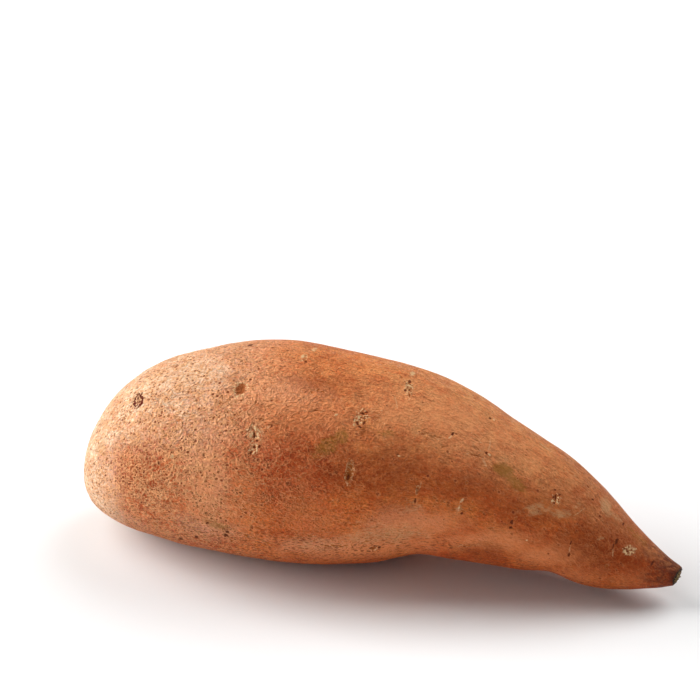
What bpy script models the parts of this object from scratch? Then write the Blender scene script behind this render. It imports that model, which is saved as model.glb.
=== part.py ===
"""A sweet potato: one swollen storage root, lying on its belly.

The crown end is blunt and round, the belly is the thickest part, and the tail tapers, bends down
and a little sideways, and ends where its thin root snapped off. The root lies along X with the
tail towards +X, its back up, and its belly on Z = 0, with the origin at the middle of its base.
"""

import math
from collections import namedtuple

import bmesh
import bpy
import numpy as np
from mathutils import Vector, noise

MM = 0.001

# Mesh size: rings of skin from the crown to the tail, and points round each ring.
RINGS = 78
POINTS_ROUND = 64

# Steps that the smooth curve through the sections takes from each of them to the next.
CURVE_STEPS = 24

# Half of a section's width over half of its height: the root is a little wider than it is tall.
BREADTH = 1.03

# How far the belly is pressed flat where the root rests.
REST_DEPTH = 1.0 * MM

# Slow unevenness of the whole skin: its height, and the distance between its humps.
UNEVEN_HEIGHT = 0.45 * MM
UNEVEN_LENGTH = 26.0 * MM

# Where the root is thinner than this, its swells, eyes and unevenness shrink with it.
TAIL_RADIUS = 12.0 * MM

# The blunt crown's sections stand upright, and over this length they turn square to the middle line.
CROWN_LENGTH = 60.0 * MM

# A section of the root: the middle of it, and its radius.
Section = namedtuple("Section", "x y z radius")

SECTIONS = (
    Section(-93.5 * MM, 2.0 * MM, 18.4 * MM, 0.0),
    Section(-90.5 * MM, 1.5 * MM, 20.4 * MM, 11.6 * MM),
    Section(-80.0 * MM, 0.8 * MM, 25.2 * MM, 21.8 * MM),
    Section(-62.0 * MM, 0.2 * MM, 30.0 * MM, 29.3 * MM),
    Section(-42.0 * MM, 0.0, 32.4 * MM, 32.7 * MM),
    Section(-22.0 * MM, 0.0, 33.0 * MM, 33.4 * MM),
    Section(0.0, 0.0, 32.6 * MM, 31.2 * MM),
    Section(20.0 * MM, -0.5 * MM, 30.4 * MM, 26.6 * MM),
    Section(40.0 * MM, -2.0 * MM, 24.6 * MM, 21.0 * MM),
    Section(58.0 * MM, -5.0 * MM, 19.4 * MM, 16.6 * MM),
    Section(74.0 * MM, -8.0 * MM, 13.2 * MM, 10.6 * MM),
    Section(86.0 * MM, -10.2 * MM, 10.6 * MM, 5.5 * MM),
    Section(92.0 * MM, -11.2 * MM, 10.3 * MM, 2.9 * MM),
    Section(93.5 * MM, -11.5 * MM, 10.2 * MM, 2.2 * MM),
    Section(93.6 * MM, -11.5 * MM, 10.2 * MM, 0.0),
)

# A swell or hollow of the skin. Its place is given along the root from the crown end, and by its
# turn round the root in degrees: the far side is 0, the back 90, the near side 180, the belly 270.
# Then come its height (below 0 for a hollow), its reach along the root and its spread round it.
Swell = namedtuple("Swell", "from_crown around height reach spread")

SWELLS = (
    # The waist behind the belly, the knuckle after it, and the neck where the tail bends down.
    Swell(106.0 * MM, 245.0, -1.8 * MM, 8.0 * MM, 45.0),
    Swell(132.0 * MM, 240.0, -0.2 * MM, 9.0 * MM, 35.0),
    Swell(146.0 * MM, 240.0, -1.9 * MM, 6.0 * MM, 40.0),
    Swell(161.0 * MM, 235.0, 0.5 * MM, 10.0 * MM, 45.0),
    # Waves of the back.
    Swell(36.0 * MM, 70.0, -1.2 * MM, 12.0 * MM, 40.0),
    Swell(86.0 * MM, 70.0, -1.4 * MM, 14.0 * MM, 40.0),
    Swell(127.0 * MM, 70.0, -0.9 * MM, 8.0 * MM, 40.0),
    Swell(149.0 * MM, 65.0, 0.9 * MM, 9.0 * MM, 40.0),
    Swell(164.0 * MM, 65.0, -0.3 * MM, 8.0 * MM, 40.0),
    # The long shallow trough of the near side, and a softer one on the far side.
    Swell(110.0 * MM, 195.0, -0.9 * MM, 26.0 * MM, 20.0),
    Swell(84.0 * MM, 350.0, -0.8 * MM, 30.0 * MM, 22.0),
    # The belly: less under the crown and more under the middle, where the weight is.
    Swell(44.0 * MM, 276.0, -0.7 * MM, 14.0 * MM, 30.0),
    Swell(84.0 * MM, 276.0, 1.1 * MM, 15.0 * MM, 26.0),
)

# An eye of the root: its place as for a swell, its depth, and its reach both ways.
Eye = namedtuple("Eye", "from_crown around depth reach")

EYES = (
    Eye(21.5 * MM, 117.0, 0.4 * MM, 3.0 * MM),
    Eye(53.5 * MM, 117.0, 0.6 * MM, 3.2 * MM),
    Eye(60.0 * MM, 146.0, 0.6 * MM, 4.0 * MM),
    Eye(91.0 * MM, 126.0, 0.6 * MM, 3.6 * MM),
    Eye(101.5 * MM, 90.0, 0.5 * MM, 3.6 * MM),
    Eye(89.0 * MM, 154.0, 0.6 * MM, 3.6 * MM),
    Eye(96.5 * MM, 205.0, 0.5 * MM, 3.2 * MM),
    Eye(109.0 * MM, 164.0, 0.5 * MM, 3.2 * MM),
    Eye(127.0 * MM, 126.0, 0.4 * MM, 3.2 * MM),
    Eye(148.0 * MM, 136.0, 0.5 * MM, 3.2 * MM),
    Eye(136.0 * MM, 171.0, 0.4 * MM, 3.2 * MM),
    Eye(154.0 * MM, 178.0, 0.5 * MM, 3.0 * MM),
    Eye(166.5 * MM, 150.0, 0.5 * MM, 3.0 * MM),
    Eye(33.0 * MM, 45.0, 0.5 * MM, 3.4 * MM),
    Eye(71.0 * MM, 38.0, 0.6 * MM, 3.8 * MM),
    Eye(116.0 * MM, 50.0, 0.5 * MM, 3.4 * MM),
    Eye(143.0 * MM, 34.0, 0.5 * MM, 3.2 * MM),
    Eye(27.0 * MM, 338.0, 0.5 * MM, 3.4 * MM),
    Eye(58.0 * MM, 326.0, 0.6 * MM, 3.6 * MM),
    Eye(97.0 * MM, 342.0, 0.6 * MM, 3.8 * MM),
    Eye(129.0 * MM, 330.0, 0.5 * MM, 3.4 * MM),
    Eye(158.0 * MM, 4.0, 0.4 * MM, 3.0 * MM),
    Eye(121.0 * MM, 262.0, 0.5 * MM, 3.4 * MM),
)


def smooth_line(points, steps):
    """Points on a smooth curve through the given rows, steps of them from each row to the next.

    The curve starts and ends square to the root's axis: each end is mirrored in its last radius.
    """
    rows = np.array(points, float)
    rows = np.vstack([rows[1] * (1, 1, 1, -1), rows, rows[-2] * (1, 1, 1, -1)])
    made = []
    for a, b, c, d in zip(rows, rows[1:], rows[2:], rows[3:]):
        slope = c - a
        bend = 2 * a - 5 * b + 4 * c - d
        twist = 3 * b - a - 3 * c + d
        for t in np.arange(steps) / steps:
            made.append(b + (slope * t + bend * t**2 + twist * t**3) / 2)
    made.append(rows[-2])
    return np.array(made)


def evenly_spaced(rows, count):
    """The rows resampled so that neighbours are equally far apart along the skin."""
    steps = np.linalg.norm(np.diff(rows[:, [0, 2, 3]], axis=0), axis=1)
    along_skin = np.concatenate([[0], np.cumsum(steps)])
    wanted = np.linspace(0, along_skin[-1], count)
    return np.stack([np.interp(wanted, along_skin, column) for column in rows.T], axis=1)


def turn_between(around, other):
    """The turn from one place round the root to another, in degrees from -180 to 180."""
    return (around - other + 180) % 360 - 180


def skin_lift(from_crown, around, radius):
    """How far the swells, hollows and eyes lift the skin at this place."""
    lift = 0.0
    for swell in SWELLS:
        along = (from_crown - swell.from_crown) / swell.reach
        across = turn_between(around, swell.around) / swell.spread
        lift += swell.height * math.exp(-along * along - across * across)
    for eye in EYES:
        along = (from_crown - eye.from_crown) / eye.reach
        across = math.radians(turn_between(around, eye.around)) * radius / eye.reach
        lift -= eye.depth * math.exp(-along * along - across * across)
    return lift


def skin_point(row, tangent, around):
    """The point of the skin on one section, at an angle round it."""
    x, y, z, radius = (float(value) for value in row)
    turned = min(1.0, (x - SECTIONS[0].x) / CROWN_LENGTH)
    tangent = Vector((1, 0, 0)).lerp(tangent, turned).normalized()
    sideways = Vector((-tangent.y, tangent.x, 0)).normalized()
    upwards = tangent.cross(sideways)
    outwards = math.cos(around) * BREADTH * sideways + math.sin(around) * upwards
    point = Vector((x, y, z)) + radius * outwards
    lift = skin_lift(point.x - SECTIONS[0].x, math.degrees(around) % 360, radius)
    lift += UNEVEN_HEIGHT * noise.noise(point / UNEVEN_LENGTH)
    return point + outwards * lift * min(1.0, radius / TAIL_RADIUS)


def rest_flat(verts):
    """Sets the root down on Z = 0, with the lowest part of its belly pressed flat."""
    lowest = min(vert.co.z for vert in verts)
    for vert in verts:
        vert.co.z = max(0.0, vert.co.z - lowest - REST_DEPTH)


def centre_base(verts):
    """Moves the root so that the middle of its base is over the origin."""
    places = np.array([vert.co for vert in verts])
    middle = (places.min(axis=0) + places.max(axis=0)) / 2
    for vert in verts:
        vert.co -= Vector((middle[0], middle[1], 0))


def grow_root():
    """The root's mesh: a ball whose rings are drawn out along the sections."""
    rows = evenly_spaced(smooth_line(SECTIONS, CURVE_STEPS), RINGS + 1)
    tangents = [Vector(t).normalized() for t in np.gradient(rows[:, :3], axis=0)]
    shape = bmesh.new()
    bmesh.ops.create_uvsphere(shape, u_segments=POINTS_ROUND, v_segments=RINGS, radius=1.0)
    for vert in shape.verts:
        ring = round(math.acos(max(-1.0, min(1.0, vert.co.z))) / math.pi * RINGS)
        around = math.atan2(vert.co.y, vert.co.x)
        vert.co = skin_point(rows[ring], tangents[ring], around)
    rest_flat(shape.verts)
    centre_base(shape.verts)
    shape.normal_update()
    bmesh.ops.recalc_face_normals(shape, faces=shape.faces)
    mesh = bpy.data.meshes.new("sweet_potato")
    shape.to_mesh(mesh)
    shape.free()
    return mesh


def skin_material():
    """Orange-brown skin, dry and almost without gloss."""
    material = bpy.data.materials.new("skin")
    material.use_nodes = True
    surface = material.node_tree.nodes["Principled BSDF"]
    surface.inputs["Base Color"].default_value = (0.46, 0.17, 0.07, 1.0)
    surface.inputs["Roughness"].default_value = 0.6
    surface.inputs["Metallic"].default_value = 0.0
    return material


def main():
    """Clears the scene and puts the finished root in it."""
    for old in list(bpy.data.objects):
        bpy.data.objects.remove(old, do_unlink=True)
    vegetable = bpy.data.collections.new("sweet potato")
    bpy.context.scene.collection.children.link(vegetable)
    mesh = grow_root()
    mesh.shade_smooth()
    mesh.materials.append(skin_material())
    vegetable.objects.link(bpy.data.objects.new("sweet_potato", mesh))


main()
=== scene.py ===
"""The looks of a raw sweet potato: its skin with pores, scars and eyes, its snapped tail tip, and a studio.

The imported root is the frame. Its node is replaced by a finer skin of the same form, which carries
the relief that the solid leaves out. Places on the skin are given from the crown end along the root,
and by the turn round it: the far side is 0 degrees, the back 90, the near side 180, the belly 270.
"""

import logging
import math
import random
from dataclasses import dataclass
from enum import Enum
from functools import partial, reduce

import bmesh
import bpy
import numpy as np
from mathutils import Matrix, Vector, noise


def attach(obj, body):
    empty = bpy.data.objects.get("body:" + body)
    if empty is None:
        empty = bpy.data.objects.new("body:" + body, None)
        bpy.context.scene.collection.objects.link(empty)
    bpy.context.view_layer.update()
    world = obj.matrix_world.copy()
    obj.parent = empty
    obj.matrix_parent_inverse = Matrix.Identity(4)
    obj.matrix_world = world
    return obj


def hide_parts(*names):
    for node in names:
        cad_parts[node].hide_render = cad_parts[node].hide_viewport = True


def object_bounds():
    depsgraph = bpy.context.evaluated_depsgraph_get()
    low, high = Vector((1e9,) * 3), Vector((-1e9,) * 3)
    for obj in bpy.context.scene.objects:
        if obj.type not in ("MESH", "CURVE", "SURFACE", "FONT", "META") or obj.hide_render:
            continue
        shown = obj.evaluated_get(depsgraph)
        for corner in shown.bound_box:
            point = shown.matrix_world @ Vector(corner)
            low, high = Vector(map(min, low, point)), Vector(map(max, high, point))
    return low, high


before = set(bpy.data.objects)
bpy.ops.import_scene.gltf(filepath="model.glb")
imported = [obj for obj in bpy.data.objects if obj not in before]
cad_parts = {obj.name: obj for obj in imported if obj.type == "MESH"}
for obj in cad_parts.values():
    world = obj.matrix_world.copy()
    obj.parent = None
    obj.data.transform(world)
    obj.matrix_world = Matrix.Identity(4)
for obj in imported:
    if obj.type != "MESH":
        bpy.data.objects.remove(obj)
cad_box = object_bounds()

log = logging.getLogger("sweet_potato")

MM = 0.001
BODY = "root"
NODE = "sweet_potato"

Socket = bpy.types.NodeSocket
Value = Socket | float | tuple
Sizes = tuple[float, float, float]


class Board:
    """A material's node tree, with a short call for each node that the finishes use. Sizes are in mm."""

    def __init__(self, name: str) -> None:
        """Makes an empty material.

        Args:
            name: the material's name.
        """
        self.material = bpy.data.materials.new(name)
        self.material.use_nodes = True
        self.nodes = self.material.node_tree.nodes
        self.links = self.material.node_tree.links
        self.surface = self.nodes["Principled BSDF"]

    def fill(self, node: bpy.types.Node, inputs: dict[str | int, Value]) -> None:
        """Links each input to another node's output, or sets it to a plain value.

        Args:
            node: the node whose inputs are filled.
            inputs: the output, number or tuple for each input, by the input's name or number.
        """
        for name, value in inputs.items():
            if isinstance(value, Socket):
                self.links.new(value, node.inputs[name])
            else:
                node.inputs[name].default_value = value

    def add(self, kind: str, inputs: dict[str | int, Value], **options: str) -> bpy.types.Node:
        """Adds one node.

        Args:
            kind: the node's type, without the ShaderNode that every type starts with.
            inputs: what its inputs are filled with.
            options: its own settings.

        Returns:
            The node.
        """
        node = self.nodes.new("ShaderNode" + kind)
        for name, option in options.items():
            setattr(node, name, option)
        self.fill(node, inputs)
        return node

    def here(self) -> Socket:
        """The place on the object, in metres."""
        return self.add("TexCoord", {}).outputs["Object"]

    def attribute(self, name: str) -> bpy.types.Node:
        """The node that reads one of the mesh's own attributes."""
        return self.add("Attribute", {}, attribute_name=name)

    def math(self, operation: str, a: Value, b: Value = 0.0) -> Socket:
        """One step of arithmetic, such as ADD."""
        return self.add("Math", {0: a, 1: b}, operation=operation).outputs[0]

    def total(self, *terms: Value) -> Socket:
        """The sum of several numbers."""
        return reduce(partial(self.math, "ADD"), terms)

    def product(self, *terms: Value) -> Socket:
        """The product of several numbers."""
        return reduce(partial(self.math, "MULTIPLY"), terms)

    def split(self, vector: Socket) -> tuple[Socket, Socket, Socket]:
        """The three parts of a vector."""
        return tuple(self.add("SeparateXYZ", {0: vector}).outputs)

    def stretched(self, place: Socket, sizes: Sizes) -> Socket:
        """A place divided by a size for each direction, so that a pattern of size 1 gets those sizes."""
        return self.add("Mapping", {"Vector": place, "Scale": tuple(1.0 / size for size in sizes)}).outputs[0]

    def cloud(
        self, place: Socket, sizes: Sizes, detail: float = 3.0, rough: float = 0.55, seed: float = 0.0
    ) -> Socket:
        """Soft noise from 0 to 1.

        Args:
            place: where it is read.
            sizes: how large its humps are along X, Y and Z.
            detail: how many finer layers it has.
            rough: how strong the finer layers are.
            seed: shifts the pattern, so that no two are alike.

        Returns:
            The noise's value.
        """
        spot = {"Vector": self.stretched(place, sizes), "W": seed, "Scale": 1.0}
        layers = {"Detail": detail, "Roughness": rough}
        return self.add("TexNoise", spot | layers, noise_dimensions="4D").outputs[0]

    def cells(self, place: Socket, sizes: Sizes) -> tuple[Socket, Socket]:
        """Cells of those sizes: the distance to each one's middle, and a random number for each."""
        cells = self.add("TexVoronoi", {"Vector": self.stretched(place, sizes), "Scale": 1.0}).outputs
        return cells["Distance"], self.split(cells["Color"])[0]

    def fade(self, value: Socket, start: float, end: float, low: float = 0.0, high: float = 1.0) -> Socket:
        """A smooth step: low where the value is at start, high where it is at end.

        Args:
            value: the number that is read.
            start: where the step begins; it may be above end.
            end: where the step is complete.
            low: the answer at the start.
            high: the answer at the end.

        Returns:
            The step's value.
        """
        if start > end:
            start, end, low, high = end, start, high, low
        inputs = {"Value": value, "From Min": start, "From Max": end, "To Min": low, "To Max": high}
        return self.add("MapRange", inputs, interpolation_type="SMOOTHSTEP").outputs[0]

    def blend(self, share: Value, below: Value, above: Value, mode: str = "MIX") -> Socket:
        """One colour laid over another, which shows by its share."""
        return self.add("Mix", {0: share, 6: below, 7: above}, data_type="RGBA", blend_type=mode).outputs[2]

    def bump(self, height: Socket) -> None:
        """Gives the surface its fine relief, from a height in mm."""
        bump = self.add("Bump", {"Strength": 1.0, "Distance": MM, "Height": height})
        self.fill(self.surface, {"Normal": bump.outputs[0]})


class Coat(Board):
    """The skin's material as it is painted: the places that its patterns read, its colour and its relief.

    Its places are place, on the object, and grain, along the root and across it. Its measures are
    along, from the crown end, and upwards, from -1 at the belly to 1 at the back.
    """

    def __init__(self, name: str, base: tuple) -> None:
        """Starts with one plain colour and no relief.

        Args:
            name: the material's name.
            base: the colour.
        """
        super().__init__(name)
        self.place = self.stretched(self.here(), (MM, MM, MM))
        self.grain = self.attribute("grain").outputs["Vector"]
        self.along = self.split(self.grain)[0]
        self.upwards = self.attribute("lift").outputs["Fac"]
        self.base = base
        self.relief = 0.0

    def paint(self, shade: Value, *shares: Value, mode: str = "MIX") -> None:
        """Lays a shade over the colour so far, which shows by the product of its shares."""
        self.base = self.blend(self.product(*shares), self.base, shade, mode)

    def lift(self, share: Socket, height: float) -> None:
        """Raises the relief by a share of a height in mm, or sinks it where the height is below 0."""
        self.relief = self.math("ADD", self.relief, self.product(share, height))


def colour(red: int, green: int, blue: int) -> tuple[float, float, float, float]:
    """A colour of everyday 0 to 255 values, as the linear light that a shader takes."""
    parts = (value / 255 for value in (red, green, blue))
    return *(part / 12.92 if part <= 0.04045 else ((part + 0.055) / 1.055) ** 2.4 for part in parts), 1.0


@dataclass(frozen=True)
class ScarLook:
    """How one kind of scar is cut and coloured. Each value runs from 0, none, to 1, full."""

    core: float = 0.0
    lip: float = 0.0
    pale: float = 0.0
    ring: float = 0.0
    flakes: float = 0.0
    hollow: float = 0.0
    raised: float = 0.0


class ScarKind(Enum):
    """The kinds of scar that the skin has."""

    RING = ScarLook(core=0.4, lip=0.5, ring=1.0, flakes=1.0, hollow=0.3, raised=0.2)
    PIT = ScarLook(core=0.74, lip=1.0, hollow=1.0, raised=0.5)
    FLAKES = ScarLook(core=0.1, lip=0.25, flakes=1.0, hollow=0.5, raised=0.6)
    SLIT = ScarLook(core=0.6, lip=0.6, flakes=0.3, hollow=1.0, raised=0.5)
    DENT = ScarLook(core=0.3, hollow=1.0)
    SPECK = ScarLook(core=1.0, hollow=0.5)
    DASH = ScarLook(core=0.6, lip=0.25, hollow=0.7)
    CREASE = ScarLook(core=0.4, lip=0.4, hollow=0.9, raised=0.3)
    GLINT = ScarLook(pale=0.9, raised=1.0)
    SCRATCH = ScarLook(pale=0.35, raised=0.3)


RING, PIT, FLAKES, SLIT, DENT, SPECK, DASH, CREASE, GLINT, SCRATCH = ScarKind


@dataclass(frozen=True)
class Scar:
    """One scar of the skin. Its place and sizes are in millimetres, and its turns in degrees.

    Its place is from_crown and around. Its long and wide sizes are whole sizes, lean is the turn of
    its long side from the root's axis towards the back, and depth is how far it is cut in.
    """

    kind: ScarKind
    from_crown: float
    around: float
    long: float
    wide: float
    lean: float = 0.0
    depth: float = 0.3


@dataclass(frozen=True)
class Trail:
    """A line of like scars, evenly spaced from one place to another and each a little different."""

    kind: ScarKind
    start: tuple[float, float]
    end: tuple[float, float]
    count: int
    long: float
    wide: float
    lean: float = 0.0
    depth: float = 0.2

    def draw(self) -> list[Scar]:
        """Spaces the line's scars out.

        Returns:
            The scars.
        """
        draw = random.Random(f"{self.start} {self.end}")
        made = []
        for number in range(self.count):
            share = (number + draw.uniform(-0.25, 0.25)) / max(1, self.count - 1)
            made.append(
                Scar(
                    self.kind,
                    self.start[0] + share * (self.end[0] - self.start[0]),
                    self.start[1] + share * (self.end[1] - self.start[1]) + draw.uniform(-1, 1),
                    self.long * draw.uniform(0.75, 1.25),
                    self.wide * draw.uniform(0.85, 1.2),
                    self.lean + draw.uniform(-12, 12),
                    self.depth,
                )
            )
        return made


class Tint(Enum):
    """The stains of the skin, some of them painted light or shade: each is an attribute of the mesh, from 0
    to 1.
    """

    OLIVE = "olive"
    PALE = "pale"
    PINK = "pink"
    BROWN = "brown"
    # Dust, laid partly as painted sheen and as painted light reflected from the floor.
    DUST_AND_PAINTED_LIGHT = "dust_and_painted_light"


OLIVE, PALE, PINK, BROWN, DUST_AND_PAINTED_LIGHT = Tint


@dataclass(frozen=True)
class Stain:
    """A soft-edged stain of the skin, or a soft patch of painted light or shade, placed, sized and turned as
    a scar is.
    """

    tint: Tint
    from_crown: float
    around: float
    long: float
    wide: float
    strength: float
    lean: float = 0.0


Mark = Scar | Stain


def scars(kind: ScarKind, *rows: tuple[float, ...]) -> list[Scar]:
    """Scars of one kind, each given by its place and sizes, and where they matter its lean and depth."""
    return [Scar(kind, *row) for row in rows]


def stains(tint: Tint, *rows: tuple[float, ...]) -> list[Stain]:
    """Stains of one tint, each given by its place, sizes and strength, and where it matters its lean."""
    return [Stain(tint, *row) for row in rows]


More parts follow.
